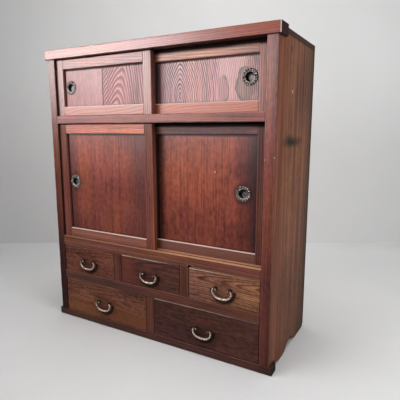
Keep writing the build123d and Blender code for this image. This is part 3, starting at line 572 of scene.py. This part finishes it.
# For each door: early and late wood of its stiles, and the lacquer left on them.
stile_looks = {
    "upper_left_door": (shade(154, 92, 84), shade(104, 55, 48), 0.75),
    "upper_right_door": (shade(140, 82, 73), shade(94, 49, 43), 0.5),
    "lower_left_door": (shade(124, 68, 56), shade(82, 42, 34), 0.2),
    "lower_right_door": (shade(94, 54, 47), shade(62, 34, 31), 0.15),
}
for seed, (door, (early, late, lacquer)) in enumerate(stile_looks.items()):
    node = door + "_stiles"
    low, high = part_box(node)
    middle = (low[0] + high[0]) / 2
    finish = wood(
        node + "_stain", 2, 1, (middle, 0.25), 0.0034, early, late,
        wave=0.008, rough=0.44, seed=90.0 + seed * 2.9,
    )
    rubbed(finish, node, shade(164, 106, 80), share=0.35, fold=(0, middle, stile_width))
    # Painted shadow: on a door that runs behind, its left stile is darkened, in the shade of the door in
    # front.
    if "right" in door:
        finish.dim(1 - 0.5 * (1 - finish.rise(finish.axes[0], middle - 0.02, middle + 0.02)))
    if door == "lower_left_door":
        # The right edge of the lower left door's meeting stile, low down: worn to bare wood, and a painted
        # highlight where light falls on it.
        bare_and_lit_edge = finish.rise(finish.axes[0], high[0] - 0.0030, high[0] - 0.0010)
        bare_and_lit_edge = bare_and_lit_edge * (1 - finish.rise(finish.axes[2], 0.45, 0.80) * 0.7)
        finish.tint(bare_and_lit_edge * finish.rise(finish.streaks, 0.25, 0.55) * 0.8, shade(170, 108, 74))
    painted_shadow = under_rail(finish, door)
    sheen = finish.rise(finish.axes[2], 0.4, 0.85) * lacquer * (1 - painted_shadow)
    fit(node + "_worn", worn_copy(node, 2, 0.012, 0.0003), node, finish.close(0.0007, coat=sheen))

# Door rails
# A top and a bottom rail join the stiles of each door. They were cut from paler, more orange wood,
# and the stain took to them less.
groove = 0.006
# For each door: early and late wood of its top rail, the colour of its bottom rail, and their lacquer.
door_rail_looks = {
    "upper_left_door": (shade(166, 98, 89), shade(116, 63, 54), shade(180, 106, 88), 0.7),
    "upper_right_door": (shade(184, 116, 92), shade(124, 70, 54), shade(190, 104, 80), 0.55),
    "lower_left_door": (shade(196, 110, 88), shade(146, 75, 59), shade(100, 58, 46), 0.45),
    "lower_right_door": (shade(118, 80, 76), shade(82, 53, 49), shade(122, 74, 58), 0.2),
}
for seed, (door, (early, late, bottom, lacquer)) in enumerate(door_rail_looks.items()):
    node = door + "_rails"
    low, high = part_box(node)
    middle = (low[2] + high[2]) / 2
    finish = wood(
        node + "_stain", 0, 1, (middle, -0.02), 0.0046, early, late,
        taper=0.03, wave=0.02, rough=0.44, seed=110.0 + seed * 3.7,
    )
    below = 1 - finish.rise(finish.axes[2], middle - 0.01, middle + 0.01)
    finish.tint(below * (0.85 - finish.latewood * 0.5), bottom)
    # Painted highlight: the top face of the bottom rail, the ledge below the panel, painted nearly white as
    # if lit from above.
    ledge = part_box(door + "_panel")[0][2] + groove
    ledge_highlight = finish.rise(finish.axes[2], ledge - 0.002, ledge - 0.001) * below
    finish.tint(ledge_highlight * 0.9, shade(242, 214, 202))
    painted_shadow = under_rail(finish, door)
    sheen = (1 - painted_shadow) * lacquer
    fit(node + "_worn", worn_copy(node, 0, 0.012, 0.0003), node, finish.close(0.0007, coat=sheen))


# Door panels
# Thin boards, glued edge to edge, float in the grooves of each door frame. The upper pair shows the
# arches of flat-sawn wood, brushed until the hard grain stands up; the lower pair is plainer and redder.
def framed(finish, door, boards, share, crack):
    """Paints shade on a panel along its frame, most at the head and the left, and draws its boards' joints.

    It hands back the ragged distances from the left and from the right stile.
    """
    low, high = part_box(door + "_panel")
    left = finish.axes[0] - (low[0] + groove)
    right = (high[0] - groove) - finish.axes[0]
    foot = finish.axes[2] - (low[2] + groove)
    head = (high[2] - groove) - finish.axes[2]
    ragged = (finish.streaks - 0.5) * 0.03
    # Painted shade, faint, along the right and the foot.
    finish.tint((1 - finish.rise(right.least(foot) + ragged * 0.3, 0.001, 0.009)) * 0.4, shade(48, 27, 26))
    # Painted shadow, deep, along the head and the left.
    finish.shadow = (1 - finish.rise(left.least(head) + ragged * 0.1, 0.004, 0.009)) * share
    finish.tint(finish.shadow, shade(22, 10, 10))
    finish.rough = finish.rough + finish.shadow * 0.4
    board_wide = (high[0] - low[0]) / boards
    turn = (finish.axes[0] - low[0]) / board_wide
    joint = abs(turn.sum("FRACT", turn + 0.5) - 0.5) * board_wide
    inner = finish.rise(left.least(right), 0.02, 0.03)
    finish.seam = (1 - finish.rise(joint, 0.0012, 0.0028)) * inner
    finish.tint(finish.seam * crack, shade(50, 27, 25))
    # Painted shadow of the door in front, along the left of a door that runs behind.
    if "right" in door:
        finish.tint((1 - finish.rise(left + ragged, 0.006, 0.040)) * 0.7, shade(36, 21, 21))
    return left + ragged, right + ragged


def handled(finish, door, share):
    """The dark ring that fingers have left round a pull."""
    low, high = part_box(door + "_pull")
    middle = [(a + b) / 2 for a, b in zip(low, high)]
    ring = finish.away(middle) + (finish.clouds - 0.5) * 0.02
    finish.tint((1 - finish.rise(ring, 0.025, 0.042)) * share, shade(38, 26, 26))


def water_mark(finish, x, z, wide, tall, fill, edge, seed):
    """A dried spill: a dull patch with a dark tide line, strongest on the side that edge points to."""
    aside = (finish.axes[0] - x) / wide
    away = aside.span((finish.axes[2] - z) / tall)
    away = away + (finish.noise((26.0, 26.0, 22.0), 2.0, seed) - 0.5) * 1.1
    inside = 1 - finish.rise(away, 0.88, 1.0)
    line = finish.rise(away, 0.62, 0.92) * inside * finish.rise(aside * edge, -0.5, 0.5)
    finish.tint(inside * fill, shade(112, 78, 65))
    finish.tint(line * 0.92, shade(60, 34, 28))
    finish.rough = finish.rough + inside * 0.12


finish = wood(
    "upper_left_panel_stain", 2, 1, (-0.128, -0.150), 0.0100, shade(180, 106, 102), shade(80, 39, 40),
    taper=0.42, skew=0.26, centre=0.895, wave=0.018, ripple=0.007, rough=0.40, seed=130.0,
)
faded = 1 - finish.rise(finish.axes[0] + (finish.streaks - 0.5) * 0.06, -0.130, -0.060)
finish.tint(faded * 0.55, shade(172, 101, 98))
low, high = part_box("upper_left_door_panel")
board_joint = (low[0] + high[0]) / 2
plain = finish.rise(board_joint - finish.axes[0], -0.0002, 0.0005)
straight = finish.noise((190.0, 190.0, 3.0), 3.0, 132.0)
blots = finish.noise((80.0, 80.0, 40.0), 3.0, 135.0)
grain = finish.rise(straight + (blots - 0.5) * 0.6, 0.25, 0.75)
finish.tint(plain, finish.blend(grain, shade(130, 67, 66), shade(170, 94, 92)))
wander = finish.noise((16.0, 16.0, 5.0), 3.0, 133.0) - 0.5
flame_middle, flame_slope, flame_pitch = -0.300, 3.6, 0.042
flame = abs(finish.axes[0] - flame_middle + wander * 0.03) * flame_slope
flame = (flame + finish.axes[2] + wander * 0.02) / flame_pitch
tongue = flame.sum("FRACT", flame)
tongue = finish.rise(tongue, 0.3, 0.86) * (1 - finish.rise(tongue, 0.9, 1.0))
flame = tongue * plain * finish.rise(finish.axes[0] * -1.0, 0.21, 0.27)
finish.tint(flame * 0.42, shade(112, 52, 52))
framed(finish, "upper_left_door", 2, 0.97, 0.9)
finish.height = finish.height * (1 - plain) + straight * plain * 0.2
gloss = 0.40 - finish.latewood * 0.3 - plain * 0.16
gloss = gloss * (1 - finish.seam) * (1 - finish.shadow)
dress("upper_left_door_panel", finish.close(0.003, coat=gloss, specular=0.5))

finish = wood(
    "upper_right_panel_stain", 2, 1, (0.111, -0.14125), 0.0060, shade(188, 117, 115), shade(48, 23, 24),
    lean=0.42, centre=0.856, point=1.5, wave=0.014, ripple=0.005, rough=0.42, seed=134.0,
)
rinsed = finish.axes[0] + (finish.streaks - 0.5) * 0.04
rinsed = finish.rise(rinsed, 0.236, 0.252) * (1 - finish.rise(rinsed, 0.325, 0.345))
finish.tint(rinsed * 0.65, shade(186, 112, 108))
finish.height = finish.height * (1 - rinsed * 0.7)
_, right = framed(finish, "upper_right_door", 1, 0.97, 0.0)
finish.tint((1 - finish.rise(right, 0.0, 0.05)) * 0.45, shade(66, 48, 54))
water_mark(finish, x=0.262, z=0.868, wide=0.017, tall=0.040, fill=0.35, edge=1.0, seed=3.0)
water_mark(finish, x=0.334, z=0.876, wide=0.034, tall=0.054, fill=0.7, edge=-1.0, seed=8.0)
gloss = (0.6 - finish.latewood * 0.45) * (1 - finish.shadow)
dress("upper_right_door_panel", finish.close(0.003, coat=gloss, specular=0.6))

finish = wood(
    "lower_left_panel_stain", 2, 1, (-0.62, -0.12), 0.0058, shade(148, 77, 62), shade(122, 59, 47),
    wave=0.016, line=0.75, streak=0.45, cloud=1.2, mottle=1.3, fleck=0.45, rough=0.5, seed=141.0,
)
left, right = framed(finish, "lower_left_door", 3, 0.9, 0.25)
finish.tint((1 - finish.rise(right, 0.03, 0.10)) * 0.5, shade(72, 50, 52))
finish.tint((1 - finish.rise(left, 0.01, 0.06)) * 0.5, shade(66, 44, 48))
handled(finish, "lower_left_door", 0.35)
finish.dim(0.60 + 0.48 * finish.rise(finish.axes[2], 0.36, 0.76))
sheen = finish.rise(finish.axes[2], 0.5, 0.8) * 0.5
dress("lower_left_door_panel", finish.close(0.0007, coat=sheen))

finish = wood(
    "lower_right_panel_stain", 2, 1, (0.70, -0.10), 0.0050, shade(152, 78, 62), shade(124, 60, 47),
    wave=0.014, line=0.75, streak=0.45, cloud=1.1, mottle=1.3, fleck=0.45, rough=0.5, seed=147.0,
)
_, right = framed(finish, "lower_right_door", 3, 0.9, 0.25)
dusk = right + (finish.clouds - 0.5) * 0.08 + abs(finish.axes[2] - 0.63) * 0.15
finish.tint((1 - finish.rise(dusk, 0.01, 0.11)) * 0.88, shade(40, 30, 36))
handled(finish, "lower_right_door", 0.6)
pale_spot = (0.235, -0.14125, 0.614)
finish.tint(1 - finish.rise(finish.away(pale_spot), 0.002, 0.004), shade(196, 148, 132))
finish.dim(0.74 + 0.34 * finish.rise(finish.axes[2], 0.36, 0.74))
sheen = finish.rise(finish.axes[2], 0.5, 0.8) * 0.5
dress("lower_right_door_panel", finish.close(0.0007, coat=sheen))


# Finger pulls
# A dished iron cup is let through each door panel; its stamped rim is a flower of sixteen petals
# round a raised lip. The high places are rubbed grey and the cup is dark with old lacquer, with a
# painted shadow in its upper left and a painted highlight on its lower lip.
def shape_tree(name, inputs):
    """Starts a geometry tree: hands back its bench and the values of its inputs."""
    tree = bpy.data.node_groups.new(name, "GeometryNodeTree")
    for label, kind in inputs:
        tree.interface.new_socket(label, in_out="INPUT", socket_type="NodeSocket" + kind)
    tree.interface.new_socket("Geometry", in_out="OUTPUT", socket_type="NodeSocketGeometry")
    bench = Bench(tree)
    sockets = bench.add("NodeGroupInput").socket.node.outputs
    return bench, {socket.name: Value(bench, socket) for socket in sockets}


def finish_tree(bench, shape, material):
    """Ends a geometry tree with its shape smooth, real and painted."""
    smooth = bench.add("GeometryNodeSetShadeSmooth", {}, {"Geometry": shape, "Shade Smooth": True})
    whole = bench.add("GeometryNodeRealizeInstances", {}, {"Geometry": smooth})
    painted = bench.add("GeometryNodeSetMaterial", {}, {"Geometry": whole, "Material": material})
    bench.add("NodeGroupOutput", {}, {"Geometry": painted})


bench, given = shape_tree(
    "flower_pull", (("Petals", "Float"), ("Rim Radius", "Float"), ("Notch", "Float"), ("Iron", "Material"))
)
# The cup from its middle to its rim: radius and height above the panel, in millimetres.
profile = (
    (0.0, -6.8), (11.0, -6.6), (12.9, -5.6), (13.5, -3.0), (13.9, 0.4), (14.5, 1.8), (15.6, 2.5),
    (16.8, 2.0), (17.7, 1.0), (18.6, 1.3), (21.5, 2.1), (24.4, 1.6), (26.0, 0.1),
)
rim_mm, sunk_mm, span_mm = 26.0, 7.0, 10.0
sheet = bench.add(
    "GeometryNodeMeshGrid", {}, {"Size X": 1.0, "Size Y": 1.0, "Vertices X": 193, "Vertices Y": 49}
)
split = bench.add("ShaderNodeSeparateXYZ", {}, {0: bench.add("GeometryNodeInputPosition")}).socket.node
angle = (Value(bench, split.outputs[0]) + 0.5) * (-2 * math.pi)
reach = Value(bench, split.outputs[1]) + 0.5
last = len(profile) - 1
outs = [(i / last, out / rim_mm) for i, (out, _) in enumerate(profile)]
ups = [(i / last, (up + sunk_mm) / span_mm) for i, (_, up) in enumerate(profile)]
radius = bench.add("ShaderNodeFloatCurve", {"curve": outs}, {"Value": reach})
lift = bench.add("ShaderNodeFloatCurve", {"curve": ups}, {"Value": reach})
turn = angle * given["Petals"] * 0.5
crown = abs(turn.sum("COSINE", turn)) ** 0.6
petal = bench.rise(reach, 0.66, 0.8)
tip = bench.rise(reach, 0.8, 1.0)
distance = radius * given["Rim Radius"] - tip * given["Notch"] * (1 - crown)
height = lift * (span_mm / 1000) - sunk_mm / 1000
height = height - petal * (1 - crown) * (height.most(0.0) * 0.8)
spot = bench.add(
    "ShaderNodeCombineXYZ", {},
    {0: distance * angle.sum("COSINE", angle), 1: distance * angle.sum("SINE", angle), 2: height},
)
bent = bench.add("GeometryNodeSetPosition", {}, {"Geometry": sheet, "Position": spot})
joined = bench.add("GeometryNodeMergeByDistance", {}, {"Geometry": bent, "Distance": 0.00002})
finish_tree(bench, joined, given["Iron"])
pull_tree = bench.tree


def grown(name, data, tree, values):
    """Runs a geometry tree on an object and hands back the plain mesh that it makes."""
    maker = bpy.data.objects.new(name, data)
    bpy.context.collection.objects.link(maker)
    modifier = maker.modifiers.new("shape", "NODES")
    modifier.node_group = tree
    for item in tree.interface.items_tree:
        if item.in_out == "INPUT" and item.name in values:
            modifier[item.identifier] = values[item.name]
    bpy.context.view_layer.update()
    mesh = bpy.data.meshes.new_from_object(maker.evaluated_get(bpy.context.evaluated_depsgraph_get()))
    maker.modifiers.remove(modifier)
    bpy.data.objects.remove(maker)
    return mesh


petals = 16
petal_root = 0.0185
lip_inside, lip_outside = 0.0128, 0.0165
cup_edge, cup_shift = 0.0130, 0.0035
pull_finish = iron("pull_iron", shade(58, 51, 49), shade(150, 140, 133), shade(70, 54, 46), 0.6, 0.40, 11.0)
pull_middles = {}
for door in doors:
    low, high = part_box(door + "_pull")
    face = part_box(door + "_panel")[0][1]
    pull_middles[door] = Vector(((low[0] + high[0]) / 2, face, (low[2] + high[2]) / 2))
patches = pull_finish.noise((40.0, 40.0, 40.0), 1.0, 2.0)
pull_finish.tint(pull_finish.rise(patches, 0.5, 0.7) * 0.4, shade(52, 50, 52))
for door in doors:
    aside = pull_finish.axes[0] - pull_middles[door].x
    above = pull_finish.axes[2] - pull_middles[door].z
    reach = aside.span(above)
    spoke = aside.sum("ARCTAN2", above, aside) * (petals / 2)
    notch = 1 - pull_finish.rise(abs(spoke.sum("COSINE", spoke)), 0.1, 0.55)
    rim = pull_finish.rise(reach, petal_root, petal_root + 0.002)
    pull_finish.tint(notch * rim * 0.85, shade(28, 22, 20))
    # Painted highlight on the lower half of the lip.
    lip = pull_finish.rise(reach, lip_inside, lip_inside + 0.0012)
    lip = lip * (1 - pull_finish.rise(reach, lip_outside, lip_outside + 0.0015))
    pull_finish.tint(lip * pull_finish.rise(above * -1.0, 0.001, 0.010) * 0.6, shade(206, 196, 186))
    hollow = 1 - pull_finish.rise(reach, cup_edge, cup_edge + 0.0012)
    pull_finish.tint(hollow * 0.7, shade(76, 68, 71))
    # Painted shadow: the upper left of the cup, painted near black.
    cup_floor = (aside - cup_shift).span(above + cup_shift)
    pull_finish.tint(pull_finish.rise(cup_floor, 0.0085, 0.0115) * hollow * 0.95, shade(8, 6, 6))
pull_iron = pull_finish.close(0.00006, metallic=0.75, specular=0.5)
flower = {"Petals": float(petals), "Rim Radius": 0.0259, "Notch": 0.0024, "Iron": pull_iron}
for door in doors:
    mesh = grown(door + "_flower", bpy.data.meshes.new(door + "_blank"), pull_tree, flower)
    mesh.transform(Matrix.Translation(pull_middles[door]) @ Matrix.Rotation(math.radians(90), 4, "X"))
    pull = fit(door + "_flower_pull", mesh, door + "_pull", pull_iron)
    skin = pull.modifiers.new("sheet", "SOLIDIFY")
    skin.thickness = 0.0006
    skin.offset = -1.0

# Drawer fronts
# Each front is one thick board with its grain across, lapped over the drawer sides. The five boards
# took the stain differently, from near black to tan; bails have rubbed above their pins, a shadow is
# painted below them, and the top arrises are chafed pale and carry a painted highlight.
bail_reach, rub_width = 0.0325, 0.0045
bail_shadow_wide, bail_shadow_deep = 0.034, 0.036
# For each drawer: early and late wood, width of a ring, how far the rings wave, how cloudy the stain
# is, and how strong the pale top arris is, chafed and with a painted highlight.
drawer_looks = {
    1: (shade(110, 64, 52), shade(84, 46, 38), 0.0055, 0.022, 1.2, 0.15),
    2: (shade(82, 49, 43), shade(62, 36, 33), 0.0060, 0.020, 1.2, 0.8),
    3: (shade(136, 92, 72), shade(60, 31, 24), 0.0037, 0.026, 0.9, 0.85),
    4: (shade(116, 72, 54), shade(90, 55, 41), 0.0065, 0.018, 1.2, 0.15),
    5: (shade(76, 46, 41), shade(64, 38, 34), 0.0070, 0.014, 0.7, 0.6),
}
eye_levels = {}
for number, (early, late, spacing, wave, cloud, edge_wear_and_light) in drawer_looks.items():
    low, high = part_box(f"drawer_{number}_eye_pins")
    level = (low[2] + high[2]) / 2
    eye_levels[number] = level
    node = f"drawer_{number}_front"
    low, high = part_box(node)
    middle = (low[0] + high[0]) / 2
    finish = wood(
        f"drawer_{number}_stain", 0, 1, (level + 0.02, low[1] + 0.035), spacing, early, late,
        lean=0.05, centre=middle, wave=wave, line=0.9, streak=0.9, cloud=cloud, mottle=1.5, rough=0.55,
        seed=150.0 + number * 4.3,
    )
    if number == 2:
        ruddy = 1 - finish.rise(finish.axes[0] + (finish.clouds - 0.5) * 0.2, low[0] + 0.05, low[0] + 0.10)
        finish.tint(ruddy * 0.6, shade(108, 54, 42))
    if number == 4:
        warm = 1 - finish.rise(finish.axes[2] + (finish.clouds - 0.5) * 0.15, low[2] + 0.02, low[2] + 0.07)
        finish.tint(warm * 0.5, shade(124, 73, 44))
    aside = finish.axes[0] - middle
    up = finish.axes[2] - level
    ring = (aside.span(up) - bail_reach) / rub_width
    arch = (1 - finish.rise(abs(ring), 0.3, 1.0)) * finish.rise(up, 0.002, 0.012)
    finish.tint(arch * finish.rise(finish.streaks, 0.3, 0.6) * 0.3, shade(124, 58, 46))
    swept = (1 - finish.rise(ring, -5.0, 1.0)) * finish.rise(up, 0.002, 0.02)
    finish.tint(swept * (1 - finish.latewood * 0.5) * 0.45, shade(124, 62, 50))
    # Finger dirt round the grip, with painted shade below the bail.
    hands = 1 - finish.rise(aside.span(up + 0.02), 0.02, 0.07)
    finish.tint(hands * 0.35, shade(42, 25, 23))
    # Painted shadow: a dark band below each bail, as if cast by light from above.
    bow = (aside / bail_shadow_wide).span(up / bail_shadow_deep)
    painted_shadow = (1 - finish.rise(abs(bow - 1.22), 0.06, 0.28)) * (1 - finish.rise(up, -0.006, 0.0))
    finish.tint(painted_shadow * 0.85, shade(20, 11, 10))
    # The top arris: chafed pale, and a painted highlight where light from above falls on it.
    crest = finish.axes[2] + (finish.noise((24.0, 24.0, 24.0), 2.0, 6.0) - 0.5) * 0.003
    worn_lit_arris = finish.rise(crest, high[2] - 0.0022, high[2] - 0.0012) * edge_wear_and_light
    worn_lit_arris = worn_lit_arris * (1 - 0.75 * finish.rise(finish.axes[0], middle - 0.03, high[0]))
    finish.tint(worn_lit_arris, shade(226, 196, 176))
    fit(node + "_worn", worn_copy(node, 0, 0.011, 0.0003), node, finish.close(0.001, specular=0.07))

# Drawer boxes
# Two sides, a back and a floor make each drawer's box, thin boards of bare softwood. They are grooved
# and nailed together, and the sides are let into the back of the front.
for number in drawer_looks:
    node = f"drawer_{number}_box"
    low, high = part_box(node)
    pith = ((low[0] + high[0]) / 2, low[2] - 0.05)
    dress(node, bare_wood(node + "_bare", 1, 2, pith, 170.0 + number * 3.0))

# Eye pins
# Two split iron pins hold each bail, their loops before the front. Each was driven through a small
# round washer and the front board, and its two legs are clenched inside. They have gone black.
pin_finish = iron("pin_iron", shade(46, 34, 30), shade(84, 64, 54), shade(84, 52, 40), 0.8, 0.55, 23.0)
pin_iron = pin_finish.close(0.0001, metallic=0.8, specular=0.5)
for number in drawer_looks:
    dress(f"drawer_{number}_eye_pins", pin_iron)

# Bail handles
# Each bail is a forged rod bent like a fern shoot: thick and flat at the grip, thinner at the sides,
# its two tips turned in through the eyes. Use has kept the front of it bright.
handle_finish = iron(
    "handle_iron", shade(128, 109, 98), shade(230, 208, 192), shade(104, 78, 62), 0.3, 0.38, 17.0
)
handle_iron = handle_finish.close(0.0001, metallic=0.65, specular=0.5)
bench, given = shape_tree(
    "fern_bail", (("Geometry", "Geometry"), ("Rod Radius", "Float"), ("Iron", "Material"))
)
even = bench.add("GeometryNodeResampleCurve", {}, {"Curve": given["Geometry"], "Count": 97})
share = bench.add("GeometryNodeSplineParameter")
half_taper = [(0.0, 0.46), (0.03, 0.72), (0.10, 0.76), (0.22, 0.80)]
taper = half_taper + [(0.5, 1.0)] + [(1 - at, size) for at, size in reversed(half_taper)]
thick = bench.add("ShaderNodeFloatCurve", {"curve": taper}, {"Value": share})
sized = bench.add("GeometryNodeSetCurveRadius", {}, {"Curve": even, "Radius": thick * given["Rod Radius"]})
round_bar = bench.add("GeometryNodeCurvePrimitiveCircle", {}, {"Resolution": 16, "Radius": 1.0})
scale_by = bench.add("GeometryNodeInputRadius")
bar = bench.add(
    "GeometryNodeCurveToMesh", {},
    {"Curve": sized, "Profile Curve": round_bar, "Scale": scale_by, "Fill Caps": True},
)
finish_tree(bench, bar, given["Iron"])
# One half of the bent rod, from its tip to the grip: across and up from the middle of the eyes.
half_shoot = (
    (0.0200, -0.0022), (0.0225, -0.0004), (0.0262, 0.0), (0.0304, -0.0002), (0.0332, -0.0030),
    (0.0334, -0.0080), (0.0324, -0.0136), (0.0280, -0.0216), (0.0190, -0.0270), (0.0090, -0.0290),
)
shoot = [(-x, z) for x, z in half_shoot] + [(0.0, -0.0293)] + list(reversed(half_shoot))
rod_radius = 0.0036
eye_stand = 0.010
for number in drawer_looks:
    node = f"drawer_{number}_bail"
    low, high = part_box(node)
    pivot_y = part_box(f"drawer_{number}_front")[0][1] - eye_stand
    line = bpy.data.curves.new(node + "_line", "CURVE")
    line.dimensions = "3D"
    spline = line.splines.new("NURBS")
    spline.points.add(len(shoot) - 1)
    for point, (x, z) in zip(spline.points, shoot):
        point.co = ((low[0] + high[0]) / 2 + x, pivot_y, eye_levels[number] + z, 1.0)
    spline.order_u = 4
    spline.use_endpoint_u = True
    spline.resolution_u = 12
    mesh = grown(node + "_shoot", line, bench.tree, {"Rod Radius": rod_radius, "Iron": handle_iron})
    fit(node + "_shoot", mesh, node, handle_iron)


# Floor and walls
# A pale concrete floor and four plain pale walls, with no more on them than faint clouding. One wall
# stands close behind the chest; from outside the room the walls are clear.
def stage_sheet(name, points, faces, colour):
    """A flat or folded sheet of the room, painted and kept out of the object."""
    mesh = bpy.data.meshes.new(name)
    mesh.from_pydata(points, [], faces)
    sheet = bpy.data.objects.new(name, mesh)
    bpy.context.collection.objects.link(sheet)
    finish = Finish(name + "_paint")
    cloud = finish.noise((1.6, 1.6, 1.6), 5.0, 3.0)
    finish.colour = finish.blend(finish.rise(cloud, 0.3, 0.7), colour, shade(228, 228, 228))
    finish.rough = 0.8 + (cloud - 0.5) * 0.1
    finish.height = finish.noise((60.0, 60.0, 60.0), 3.0, 1.0)
    outside = finish.add("ShaderNodeNewGeometry", {}, {}, "Backfacing")
    mesh.materials.append(finish.close(0.0005, clear=outside))
    sheet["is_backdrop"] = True


heading = math.radians(29.49)
ahead = Vector((-math.sin(heading), math.cos(heading), 0.0))
beside = Vector((math.cos(heading), math.sin(heading), 0.0))
eye = Vector((0.826, -1.282, 0.746))
floor_half = 6
ground = [(x * floor_half, y * floor_half, 0) for x, y in ((-1, -1), (1, -1), (1, 1), (-1, 1))]
stage_sheet("floor", ground, [(0, 1, 2, 3)], shade(222, 222, 222))
wall_away, room_half, room_deep, room_tall = 2.64, 3, 4.6, 4
foot = Vector((eye.x, eye.y, 0.0)) + ahead * wall_away
left_foot, right_foot = foot - beside * room_half, foot + beside * room_half
plan = [left_foot, right_foot, right_foot - ahead * room_deep, left_foot - ahead * room_deep]
walls = [point + Vector((0, 0, level)) for level in (0, room_tall) for point in plan]
turns = [(i, (i + 1) % 4, (i + 1) % 4 + 4, i + 4) for i in range(4)]
stage_sheet("walls", walls, turns, shade(232, 232, 232))


# Light and camera
# A wide soft window light stands to the left of the front, a soft ceiling light overhead and a
# doorway's light to the right, with a little even light from all round. The camera stands at the
# front right, level with the doors.
def soft_light(name, place, target, width, tall, power, spread):
    """A rectangle of even light at a place, turned to its target."""
    lamp = bpy.data.lights.new(name, "AREA")
    lamp.shape = "RECTANGLE"
    lamp.size = width
    lamp.size_y = tall
    lamp.energy = power
    lamp.spread = math.radians(spread)
    holder = bpy.data.objects.new(name, lamp)
    holder.location = place
    holder.rotation_euler = (Vector(target) - Vector(place)).to_track_quat("-Z", "Y").to_euler()
    bpy.context.collection.objects.link(holder)


soft_light("window", (-1.08, -1.62, 1.24), (0.20, -0.2, 0.95), 1.8, 0.8, 10.0, 80.0)
soft_light("ceiling", (0.3, -0.3, 2.7), (0.1, 0.0, 0.0), 1.8, 1.8, 32.0, 150.0)
soft_light("doorway", (2.7, -0.5, 1.7), (0.5, 0.3, 0.5), 1.5, 1.8, 14.0, 150.0)
world = bpy.data.worlds.new("room")
world.use_nodes = True
world.node_tree.nodes["Background"].inputs["Color"].default_value = (1.0, 1.0, 1.0, 1.0)
world.node_tree.nodes["Background"].inputs["Strength"].default_value = 0.06
bpy.context.scene.world = world

lens = bpy.data.cameras.new("camera")
lens.sensor_width = 36.0
lens.lens = 36.76
camera = bpy.data.objects.new("camera", lens)
camera.location = eye
camera.rotation_euler = (math.radians(80.2), 0.0, heading)
bpy.context.collection.objects.link(camera)
bpy.context.scene.camera = camera
bpy.context.scene.view_settings.view_transform = "Standard"

boxes = {"cad": solid_box, "visual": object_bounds()}
{key: [list(corner) for corner in box] for key, box in boxes.items()}
